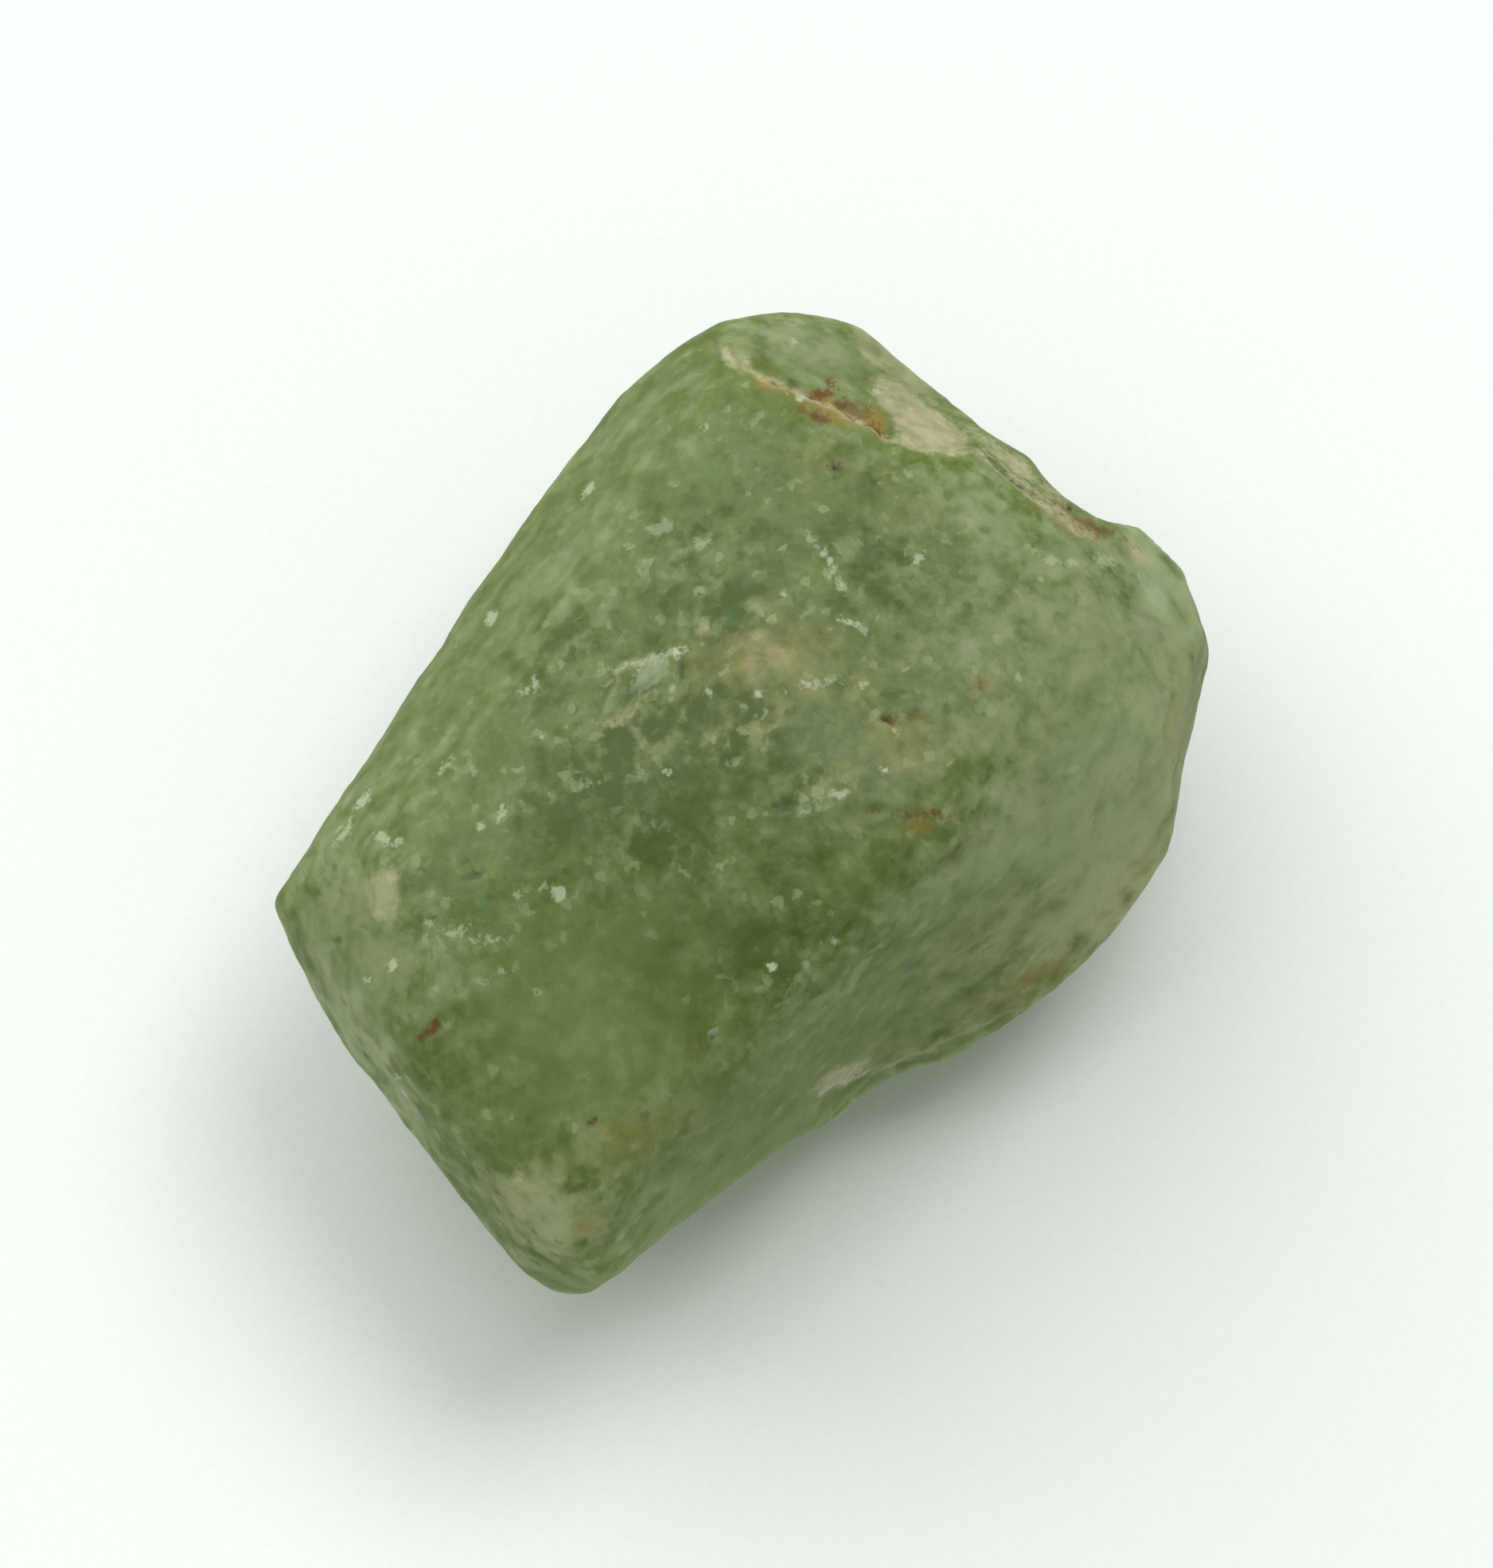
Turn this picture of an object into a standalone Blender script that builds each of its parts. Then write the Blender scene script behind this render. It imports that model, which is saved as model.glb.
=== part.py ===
"""A rough peridot crystal, one worn block of olivine that lies on its broadest natural face.

+X runs along the long axis, +Z is up, and the origin is the middle of the box's underside.
A cube is cut by one plane for each natural face, and splinters and chips are broken from it.
An even net of triangles is then drawn over that block. Its ridges are worn, its faces swell
a little, and it is cut level where it rests.
"""

import math
from typing import NamedTuple

import bmesh
import bpy
from mathutils import Matrix, Vector
from mathutils.bvhtree import BVHTree

MM = 0.001


class Face(NamedTuple):
    """One natural face of the block."""

    bearing: float  # of the outward normal in plan, in degrees from +X
    tilt: float  # of the outward normal above the level, in degrees
    reach: float  # from the heart of the stone, in mm


class Chip(NamedTuple):
    """One shell-shaped hollow, given by the ellipsoid that it leaves room for."""

    centre: tuple  # in mm
    radii: tuple  # in mm
    bearing: float  # of the first radius in plan, in degrees
    tilt: float  # of the first radius above the level, in degrees


# The point inside the stone that every face is measured from
HEART = Vector((0, 0, 4.2)) * MM
ROUGH_CUBE = 24 * MM

CROWN_FACES = {
    "table": Face(60, 87, 4.10),
    "back slope": Face(100, 75, 3.90),
    "left slope": Face(200, 77, 4.10),
    "right slope": Face(-12, 74, 4.10),
    "back shoulder": Face(96, 40, 4.66),
    "right shoulder": Face(-25, 40, 6.03),
    "front right shoulder": Face(-78, 50, 4.95),
    "left bevel": Face(165, 45, 6.95),
    "left corner shoulder": Face(140, 38, 6.50),
}
GIRDLE_FACES = {
    "back side": Face(96, 4, 5.12),
    "back right corner": Face(46, 6, 7.42),
    "back right turn": Face(76, 5, 6.21),
    "right end": Face(1, 6, 7.21),
    "right turn": Face(-32, 6, 7.62),
    "front right end": Face(-63, 8, 6.50),
    "front right side": Face(-98, 19, 4.50),
    "front left corner": Face(-150, 4, 8.64),
    "left end": Face(170, 6, 7.43),
    "left end turn": Face(157, 6, 7.39),
    "left back corner": Face(127, 8, 7.25),
}
UNDER_FACES = {
    "left end undercut": Face(165, -22, 6.74),
    "front left undercut": Face(198, -27, 7.80),
    "front undercut": Face(-98, -30, 5.42),
    "right corner undercut": Face(-60, -32, 6.10),
    "right end undercut": Face(0, -30, 6.28),
    "back right undercut": Face(50, -34, 6.14),
    "back undercut": Face(97, -27, 4.36),
    "left back undercut": Face(130, -34, 5.79),
    "left keel": Face(170, -58, 5.00),
    "right keel": Face(-10, -60, 4.85),
    "front keel": Face(-100, -62, 4.35),
    "back keel": Face(90, -60, 4.25),
}

# Where a splinter broke away along two cleavages, the stone stops at its floor or its wall
SPLINTERS = {
    "front_splinter": (Face(-95, 8, 4.12), Face(-115, 15, 4.02)),
    "front_lower_splinter": (Face(-109, -38, 4.80), Face(-115, 15, 4.02)),
    "right_end_splinter": (Face(10, 38, 6.08), Face(19, 12, 6.10)),
}

CHIPS = {
    "front_hollow": Chip((-2.6, -5.4, 2.1), (1.8, 1.3, 1.9), 10, 0),
    "right_end_hollow": Chip((8.12, 2.2, 4.0), (1.3, 1.6, 3.0), 0, 0),
    "right_end_notch": Chip((8.5, -0.95, 5.0), (2.1, 1.55, 3.6), 0, 0),
    "right_end_nick": Chip((7.75, 0.75, 4.6), (1.25, 1.5, 3.4), 0, 0),
    "crown_scoop": Chip((-0.3, 1.6, 8.9), (1.3, 0.8, 0.95), 50, 0),
    "back_hollow": Chip((-1.8, 6.3, 2.4), (3.2, 2.2, 1.6), 4, 0),
    "under_hollow": Chip((3.9, -2.6, 0.2), (2.4, 1.6, 1.0), 35, 12),
}

# The box that the net is drawn in from, and how many meshes run along each of its edges
NET_BOX = Vector((32, 24, 18)) * MM
NET_MESHES = (36, 27, 20)

RIDGE_WEAR = 0.5
RIDGE_WEAR_ROUNDS = 1
SWELL_HEIGHT = 0.22 * MM
SWELL_SIZE = 2.6 * MM
RIPPLE_HEIGHT = 0.08 * MM
RIPPLE_SIZE = 0.9 * MM

STONE_GREEN = (0.23, 0.30, 0.10, 1)
STONE_ROUGHNESS = 0.4


def outward(face):
    """The unit normal of a face."""
    turn = math.radians(face.bearing)
    rise = math.radians(face.tilt)
    level = math.cos(rise)
    return Vector((level * math.cos(turn), level * math.sin(turn), math.sin(rise)))


def nearest_point(face):
    """The point of a face's plane that is nearest to the heart."""
    return HEART + outward(face) * face.reach * MM


def trim(bm, point, normal):
    """Cuts away what lies on the side of point that normal shows, and closes the cut."""
    cut = bmesh.ops.bisect_plane(
        bm,
        geom=bm.verts[:] + bm.edges[:] + bm.faces[:],
        plane_co=point,
        plane_no=normal,
        clear_outer=True,
    )
    rim = [item for item in cut["geom_cut"] if isinstance(item, bmesh.types.BMEdge)]
    if rim:
        bmesh.ops.contextual_create(bm, geom=rim)
    bmesh.ops.recalc_face_normals(bm, faces=bm.faces)


def new_object(name, bm):
    mesh = bpy.data.meshes.new(name)
    bm.to_mesh(mesh)
    bm.free()
    obj = bpy.data.objects.new(name, mesh)
    bpy.context.scene.collection.objects.link(obj)
    return obj


def hide_helper(helper, owner):
    """Keeps a helper out of the render, and with the object that it shapes."""
    helper.display_type = "WIRE"
    helper.hide_render = True
    helper.parent = owner


def cut_away(obj, cutter):
    """Takes a cutter's room out of an object."""
    hide_helper(cutter, obj)
    cut = obj.modifiers.new(cutter.name, "BOOLEAN")
    cut.operation = "DIFFERENCE"
    cut.solver = "EXACT"
    cut.object = cutter


def rough_cube():
    bm = bmesh.new()
    bmesh.ops.create_cube(bm, size=ROUGH_CUBE, matrix=Matrix.Translation(HEART))
    return bm


def splinter(name, floor, wall):
    """The room beyond both the floor and the wall of a break."""
    bm = rough_cube()
    for face in (floor, wall):
        trim(bm, nearest_point(face), -outward(face))
    return new_object(name, bm)


def chip(name, shape):
    """The room of a shell-shaped hollow."""
    bm = bmesh.new()
    place = (
        Matrix.Translation(Vector(shape.centre) * MM)
        @ Matrix.Rotation(math.radians(shape.bearing), 4, "Z")
        @ Matrix.Rotation(math.radians(-shape.tilt), 4, "Y")
        @ Matrix.Diagonal((*(radius * MM for radius in shape.radii), 1))
    )
    bmesh.ops.create_icosphere(bm, subdivisions=4, radius=1, matrix=place)
    return new_object(name, bm)


def cut_block():
    """The block inside every natural face, with its splinters and chips broken away."""
    bm = rough_cube()
    for face in (CROWN_FACES | GIRDLE_FACES | UNDER_FACES).values():
        trim(bm, nearest_point(face), outward(face))
    block = new_object("cut_block", bm)
    for name, (floor, wall) in SPLINTERS.items():
        cut_away(block, splinter(name, floor, wall))
    for name, shape in CHIPS.items():
        cut_away(block, chip(name, shape))
    return block


def net_box():
    """A box around the block with an even net on every side."""
    bm = bmesh.new()
    bmesh.ops.create_cube(bm, size=1)
    for axis, meshes in enumerate(NET_MESHES):
        along = [edge for edge in bm.edges if edge.verts[0].co[axis] != edge.verts[1].co[axis]]
        bmesh.ops.subdivide_edges(bm, edges=along, cuts=meshes - 1, use_grid_fill=True)
    for vert in bm.verts:
        vert.co = HEART + vert.co * NET_BOX
    return bm


def draw_over(block):
    """The stone: the net drawn straight towards the heart until it lies on the block."""
    bm = net_box()
    surface = BVHTree.FromObject(block, bpy.context.evaluated_depsgraph_get())
    for vert in bm.verts:
        vert.co = surface.ray_cast(vert.co, HEART - vert.co)[0]
    bmesh.ops.triangulate(bm, faces=bm.faces)
    stone = new_object("peridot", bm)
    hide_helper(block, stone)
    return stone


def wear_ridges(stone):
    """Softens the ridges and the rims of the breaks."""
    rubbing = stone.modifiers.new("worn_ridges", "SMOOTH")
    rubbing.factor = RIDGE_WEAR
    rubbing.iterations = RIDGE_WEAR_ROUNDS


def swell(stone, name, height, size):
    """Lifts and sinks the faces in soft waves."""
    waves = bpy.data.textures.new(name, "CLOUDS")
    waves.noise_scale = size
    lift = stone.modifiers.new(name, "DISPLACE")
    lift.texture = waves
    lift.texture_coords = "LOCAL"
    lift.strength = height


def level_underside(stone):
    """Cuts the stone level at the height that it rests at."""
    bm = bmesh.new()
    middle = Matrix.Translation((0, 0, -ROUGH_CUBE / 2))
    bmesh.ops.create_cube(bm, size=ROUGH_CUBE, matrix=middle)
    cut_away(stone, new_object("resting_face", bm))


def stand_at_origin(stone):
    """Moves the stone so that the middle of its box's underside is the origin."""
    worn = stone.evaluated_get(bpy.context.evaluated_depsgraph_get())
    corners = [Vector(corner) for corner in worn.bound_box]
    lowest = Vector(map(min, zip(*corners)))
    highest = Vector(map(max, zip(*corners)))
    middle = (lowest + highest) / 2
    stone.location = (-middle.x, -middle.y, -lowest.z)


def green_stone():
    material = bpy.data.materials.new("peridot_green")
    material.use_nodes = True
    shader = material.node_tree.nodes["Principled BSDF"]
    shader.inputs["Base Color"].default_value = STONE_GREEN
    shader.inputs["Roughness"].default_value = STONE_ROUGHNESS
    shader.inputs["Metallic"].default_value = 0
    return material


def clear_scene():
    for obj in list(bpy.data.objects):
        bpy.data.objects.remove(obj)


def main():
    clear_scene()
    stone = draw_over(cut_block())
    wear_ridges(stone)
    swell(stone, "swells", SWELL_HEIGHT, SWELL_SIZE)
    swell(stone, "ripples", RIPPLE_HEIGHT, RIPPLE_SIZE)
    level_underside(stone)
    stone.data.materials.append(green_stone())
    stand_at_origin(stone)


main()
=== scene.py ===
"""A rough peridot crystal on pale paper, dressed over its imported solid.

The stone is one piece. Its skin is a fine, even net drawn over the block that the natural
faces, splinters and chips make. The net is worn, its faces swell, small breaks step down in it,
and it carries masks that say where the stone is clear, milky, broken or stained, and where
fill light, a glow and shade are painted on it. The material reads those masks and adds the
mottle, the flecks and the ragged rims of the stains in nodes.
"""

import math
from typing import NamedTuple

import bmesh
import bpy
import numpy as np
from mathutils import Matrix, Vector, noise
from mathutils.bvhtree import BVHTree


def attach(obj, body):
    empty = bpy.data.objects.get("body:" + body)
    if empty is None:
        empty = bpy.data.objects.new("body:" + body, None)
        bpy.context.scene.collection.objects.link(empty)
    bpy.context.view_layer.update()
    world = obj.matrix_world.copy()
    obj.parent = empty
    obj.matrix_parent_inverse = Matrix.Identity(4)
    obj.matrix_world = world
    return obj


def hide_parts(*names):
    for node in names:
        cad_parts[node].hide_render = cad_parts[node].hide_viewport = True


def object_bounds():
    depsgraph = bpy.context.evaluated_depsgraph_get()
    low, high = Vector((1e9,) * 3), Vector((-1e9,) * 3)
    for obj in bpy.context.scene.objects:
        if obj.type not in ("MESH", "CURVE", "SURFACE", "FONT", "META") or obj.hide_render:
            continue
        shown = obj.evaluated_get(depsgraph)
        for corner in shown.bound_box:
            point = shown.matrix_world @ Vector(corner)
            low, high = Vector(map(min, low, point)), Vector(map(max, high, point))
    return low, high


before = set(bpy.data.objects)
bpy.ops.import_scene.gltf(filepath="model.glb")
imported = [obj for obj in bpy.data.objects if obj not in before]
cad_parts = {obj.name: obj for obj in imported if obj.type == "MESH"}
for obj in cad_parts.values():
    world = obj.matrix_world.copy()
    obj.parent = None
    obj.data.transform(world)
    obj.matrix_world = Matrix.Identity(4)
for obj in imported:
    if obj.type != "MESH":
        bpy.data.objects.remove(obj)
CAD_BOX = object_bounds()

bl_info = {
    "name": "Raw Peridot",
    "version": (1, 0, 0),
    "blender": (4, 5, 0),
    "location": "3D View > Sidebar > Raw Peridot",
    "description": "Makes a rough peridot crystal and the stage that it lies on",
    "category": "Object",
}

MM = 0.001

# The block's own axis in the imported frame, and the point that its faces are measured from
BLOCK_PLACE = Vector((0.459, 0.100, 0)) * MM
HEART_HEIGHT = 4.2
HEART = BLOCK_PLACE + Vector((0, 0, HEART_HEIGHT)) * MM

# The frame that marks are placed in, in pixels, and its scale at the heart of the stone
FRAME_WIDTH = 1876
FRAME_HEIGHT = 1970
PIXELS_PER_MM = 80.3
HEART_PIXEL = (932, 994)

# The stage, in metres. The camera's sensor is in mm.
PAPER_WIDTH = 4.0
PAPER_MESHES = 8
LAMP_DISTANCE = 0.9
ROOM_TINT = (0.93, 1, 0.91, 1)
CAMERA_SENSOR = 36
NEAREST_SEEN = 0.001
FURTHEST_SEEN = 20

# How the skin is made: widths and heights in mm, and numbers of rubbings. Points of the solid
# that are nearer to each other than the weld, in metres, are one. The tiny number keeps a
# division away from 0.
WELD = 1e-7
TINY = 1e-9
RUBBED_SHARE = 0.5
RIDGE_ROUNDS = 26
SWELL_WIDTH = 2.6
RIPPLE_WIDTH = 0.9
GRAIN_WIDTH = 0.24
GRAIN_SEED = 8.4
CLOUD_OCTAVES = 2
CROWN_FOOT = 4.8
CROWN_RISE = 1.6
RESTING_HEIGHT = 0.02

# How marks and breaks lie on it, in mm. A pair is where something starts and where it is full.
LEAST_HALF_WIDTH = 0.045
WIDEST_GAP = 1.0
BEND_WIDTH = 0.4
BEND_SEEDS = (1.7, 5.2, 9.9)
VEIL_BEND = 0.5
BREAK_BEND = 0.08
PIT_RIM = (-0.05, 0.08)
DROP_RIM = (-0.02, 0.09)
WALL_RIM = (-0.05, 0.0)
WALL_FADE = 0.07

# How deep marks and veils reach into the stone for their size, the share of a break's length
# that it fades out over, and how squarely the skin has to face the camera to be pitted or broken
MARK_DEPTH = 2
VEIL_DEPTH = 1.5
BREAK_TAPER = 0.12
FACING = (0.0, 0.3)


class Lamp(NamedTuple):
    """One soft round lamp."""

    bearing: float  # in degrees from +X
    height: float  # in degrees above level
    width: float  # in metres


LAMPS = {"right_lamp": Lamp(0, 62, 0.5), "back_lamp": Lamp(80, 45, 1.2)}

# How often light may be thrown back or let through
BOUNCES = {
    "max_bounces": 5,
    "transmission_bounces": 4,
    "diffuse_bounces": 2,
    "glossy_bounces": 2,
}


class Face(NamedTuple):
    """One natural face of the block."""

    bearing: float  # of the outward normal in plan, in degrees from +X
    tilt: float  # of the outward normal above the level, in degrees
    reach: float  # from the heart of the stone, in mm


class Chip(NamedTuple):
    """One shell-shaped hollow, given by the ellipsoid that it leaves room for."""

    centre: tuple  # in mm, in the block's own axes
    radii: tuple  # in mm
    bearing: float  # of the first radius in plan, in degrees
    tilt: float  # of the first radius above the level, in degrees


class Mark(NamedTuple):
    """One mark on the skin, where the camera sees it."""

    across: int  # in pixels of the frame
    down: int  # in pixels of the frame
    half_length: float  # in mm
    half_width: float  # in mm
    turn: float = 0  # of its length, in degrees anticlockwise from the frame's right
    strength: float = 1.0


def marked(*rows):
    """Marks, each from a row of its numbers."""
    return tuple(Mark(*row) for row in rows)


class Break(NamedTuple):
    """A line on the skin that a flake came off along, with the lower side on its right."""

    path: tuple  # in pixels of the frame
    drop: float  # in mm
    reach: float  # in mm, from the line to where the lower side is level with the skin again
    wall: float  # width of the pale wall of the break, in mm
    strength: float  # of the wall's pale colour


class Stain(NamedTuple):
    """How the marks of one kind lie in the skin, and how they cover its colour."""

    marks: tuple
    bend: float  # how far the rims wander on the skin, in mm
    pit: float  # depth, as a share of a full pit
    ragged: float  # how far the material's lumps move the rims, in mm
    soft: float  # half the width of the rims, in mm
    cover: float  # share of the colour under them that they hide


class Layer(NamedTuple):
    """How the share of a layer grows with the value that steers it."""

    start: float  # the value that it starts to grow at
    full: float  # the value that it stops growing at
    most: float  # the share from there on
    least: float = 0.0  # the share up to the start


FACES = {
    "table": Face(60, 87, 4.10),
    "back slope": Face(100, 75, 3.90),
    "left slope": Face(200, 77, 4.10),
    "right slope": Face(-12, 74, 4.10),
    "back shoulder": Face(96, 40, 4.66),
    "right shoulder": Face(-25, 40, 6.03),
    "front right shoulder": Face(-78, 50, 4.95),
    "left bevel": Face(165, 45, 6.95),
    "left corner shoulder": Face(140, 38, 6.50),
    "back side": Face(96, 4, 5.12),
    "back right corner": Face(46, 6, 7.42),
    "back right turn": Face(76, 5, 6.21),
    "right end": Face(1, 6, 7.21),
    "right turn": Face(-32, 6, 7.62),
    "front right end": Face(-63, 8, 6.50),
    "front right side": Face(-98, 19, 4.50),
    "front left corner": Face(-150, 4, 8.64),
    "left end": Face(170, 6, 7.43),
    "left end turn": Face(157, 6, 7.39),
    "left back corner": Face(127, 8, 7.25),
    "worn front corner": Face(-158, 0, 8.28),
    "worn back edge": Face(97.3, 9, 5.10),
    "worn left tip": Face(130, 0, 7.33),
    "corner above the end hollow": Face(26, 12, 7.50),
    "left end undercut": Face(165, -22, 6.74),
    "front left undercut": Face(198, -27, 7.80),
    "front undercut": Face(-98, -30, 5.42),
    "right corner undercut": Face(-60, -32, 6.10),
    "right end undercut": Face(0, -30, 6.28),
    "back right undercut": Face(50, -34, 6.14),
    "back undercut": Face(97, -27, 4.36),
    "left back undercut": Face(130, -34, 5.79),
    "left keel": Face(170, -58, 5.00),
    "right keel": Face(-10, -60, 4.85),
    "front keel": Face(-100, -62, 4.35),
    "back keel": Face(90, -60, 4.25),
}

# Where a splinter broke away along two cleavages, the stone stops at its floor or its wall
SPLINTERS = {
    "front": (Face(-95, 8, 4.12), Face(-115, 15, 4.02)),
    "front, lower": (Face(-109, -38, 4.80), Face(-115, 15, 4.02)),
    "right end": (Face(10, 38, 6.08), Face(19, 12, 6.10)),
    "front foot": (Face(-102, -13, 4.80), Face(-170, 0, 4.2)),
    "above the end hollow": (Face(-2, 12, 6.64), Face(60, 0, 4.4)),
}

CHIPS = {
    "front hollow": Chip((-2.6, -5.4, 2.1), (1.8, 1.3, 1.9), 10, 0),
    "right end hollow": Chip((8.12, 2.2, 4.0), (1.3, 1.6, 3.0), 0, 0),
    "right end notch": Chip((8.66, -0.95, 5.0), (2.1, 1.55, 3.6), 0, 0),
    "right end nick": Chip((7.85, 0.75, 4.6), (1.25, 1.5, 3.4), 0, 0),
    "crown scoop": Chip((-0.3, 1.6, 8.9), (1.3, 0.8, 0.95), 50, 0),
    "back hollow": Chip((-1.8, 6.3, 2.4), (3.2, 2.2, 1.6), 4, 0),
    "under hollow": Chip((3.9, -2.6, 0.2), (2.4, 1.6, 1.0), 35, 12),
}

BREAKS = {
    "ledge across the right end": Break(
        ((1236, 566), (1170, 566), (1115, 550), (1060, 520), (1010, 497), (960, 476), (905, 440)),
        0.16, 1.4, 0.16, 1.0,
    ),
    "lip beside the end notch": Break(
        ((1395, 690), (1335, 657), (1280, 610), (1218, 560)), 0.04, 0.5, 0.12, 1.0
    ),
    "front lip": Break(
        ((1012, 1392), (1040, 1370), (1092, 1346), (1140, 1330), (1215, 1296), (1290, 1262)),
        0.10, 0.8, 0.09, 0.6,
    ),
    "bevel of the left end": Break(
        ((388, 1180), (440, 1270), (505, 1368), (560, 1448)), 0.05, 0.5, 0.05, 0.35
    ),
    "edge of the crown scoop": Break(((849, 820), (783, 838), (757, 905)), 0.06, 0.4, 0.04, 0.5),
}

RUST = marked(
    (543, 1293, 0.15, 0.07, 50),
    (534, 1303, 0.10, 0.05, 20),
    (1162, 1024, 0.36, 0.06, 0, 0.75),
    (1178, 1022, 0.12, 0.08, 0, 0.9),
    (1100, 1018, 0.20, 0.05, 0, 0.3),
    (1118, 903, 0.15, 0.10, 10, 0.9),
    (1150, 897, 0.16, 0.06, 0, 0.4),
    (1036, 486, 0.24, 0.08, 10),
    (1048, 474, 0.10, 0.06, 60, 0.8),
    (968, 474, 0.10, 0.05, 0, 0.7),
    (990, 482, 0.18, 0.05, -15, 0.6),
    (1030, 524, 0.16, 0.08, -20, 0.9),
    (1008, 516, 0.08, 0.06, 0, 0.7),
    (1074, 503, 0.26, 0.14, -20, 0.55),
    (1078, 522, 0.16, 0.10, -20, 0.8),
    (1094, 506, 0.08, 0.05, 70, 0.7),
    (1108, 531, 0.20, 0.07, -60),
    (1237, 858, 0.08, 0.08, 0, 0.55),
    (1345, 638, 0.06, 0.05),
    (1380, 661, 0.40, 0.04, -28, 0.8),
    (1050, 586, 0.08, 0.04, 0, 0.8),
    (812, 1400, 0.10, 0.07, 60, 0.5),
    (743, 1411, 0.06, 0.05, 0, 0.9),
    (878, 1310, 0.06, 0.04, 40, 0.8),
    (1380, 1018, 0.22, 0.03, 80, 0.3),
    (1212, 1060, 0.20, 0.03, 50, 0.3),
    (986, 566, 0.07, 0.05, 0, 0.4),
)
# Dark lines and spots. The lines along the steps of the breaks and the rim of the crown scoop are
# painted shade in those creases; the rest are dark spots, each sunk into a small pit.
CREASE_SHADE_AND_DARK_SPOTS = marked(
    (1262, 588, 0.55, 0.035, -40, 0.8),
    (902, 440, 0.20, 0.03, -80, 0.7),
    (1052, 586, 0.07, 0.05, 0, 0.9),
    (1345, 634, 0.06, 0.06, 0, 1.0),
    (1112, 903, 0.10, 0.08, 0, 0.8),
    (424, 1181, 0.09, 0.05, 0, 0.5),
    (596, 1100, 0.18, 0.06, 10, 0.5),
    (856, 838, 0.05, 0.16, 0, 0.7),
    (800, 868, 0.34, 0.04, 40, 0.5),
    (892, 1306, 0.12, 0.04, 55, 0.6),
    (741, 1410, 0.06, 0.05, 0, 0.7),
    (985, 1010, 0.20, 0.10, 20, 0.4),
    (1000, 470, 0.10, 0.04, -30, 0.6),
    (1066, 497, 0.14, 0.04, 0, 0.5),
    (1232, 1186, 0.30, 0.05, 30, 0.3),
)
OCHRE = marked(
    (1040, 500, 0.60, 0.20, -12, 0.9),
    (1050, 515, 0.55, 0.18, -20, 0.9),
    (1100, 520, 0.20, 0.24, 0, 0.9),
    (1318, 1216, 0.22, 0.09, 25, 0.7),
    (1288, 1234, 0.18, 0.07, 10, 0.6),
    (1240, 1257, 0.20, 0.05, 25, 0.5),
    (1154, 1041, 0.12, 0.06, 0, 0.7),
    (1345, 655, 0.45, 0.10, -32, 0.7),
    (732, 1542, 0.16, 0.10, 40, 0.6),
    (960, 472, 0.35, 0.10, -30, 0.9),
    (1240, 857, 0.18, 0.13, 0, 0.4),
    (948, 815, 0.50, 0.32, 0, 0.2),
    (1010, 800, 0.5, 0.25, 0, 0.2),
    (880, 830, 0.3, 0.15, -30, 0.2),
    (1140, 920, 0.5, 0.3, 0, 0.15),
    (810, 1425, 0.5, 0.2, 20, 0.15),
)
CREAM = marked(
    (944, 806, 0.42, 0.17, 0, 0.38),
    (976, 826, 0.26, 0.15, -50, 0.38),
    (950, 848, 0.12, 0.34, 0, 0.38),
    (491, 1103, 0.15, 0.12, 60, 0.9),
    (484, 1126, 0.26, 0.36, 20, 0.5),
    (912, 448, 0.26, 0.08, -45, 1.0),
    (957, 470, 0.30, 0.10, -30, 0.7),
    (1172, 532, 0.62, 0.42, -40, 1.1),
    (1130, 495, 0.50, 0.28, -40, 0.8),
    (1120, 452, 0.95, 0.18, -42, 0.6),
    (1288, 588, 0.80, 0.07, -39, 1.0),
    (1400, 1125, 0.8, 0.30, 48, 0.3),
    (793, 893, 0.26, 0.05, 38, 0.9),
    (770, 907, 0.17, 0.05, -8, 1.0),
    (802, 924, 0.16, 0.05, -40, 0.7),
    (844, 866, 0.06, 0.16, -10, 0.8),
    (655, 1500, 0.30, 0.26, 40, 0.3),
    (1056, 1352, 0.48, 0.13, 28, 1.0),
    (1432, 700, 0.20, 0.13, -20, 0.7),
    (884, 789, 0.10, 0.14, 0, 0.7),
    (1368, 1142, 0.18, 0.04, 30, 0.5),
)
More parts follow.
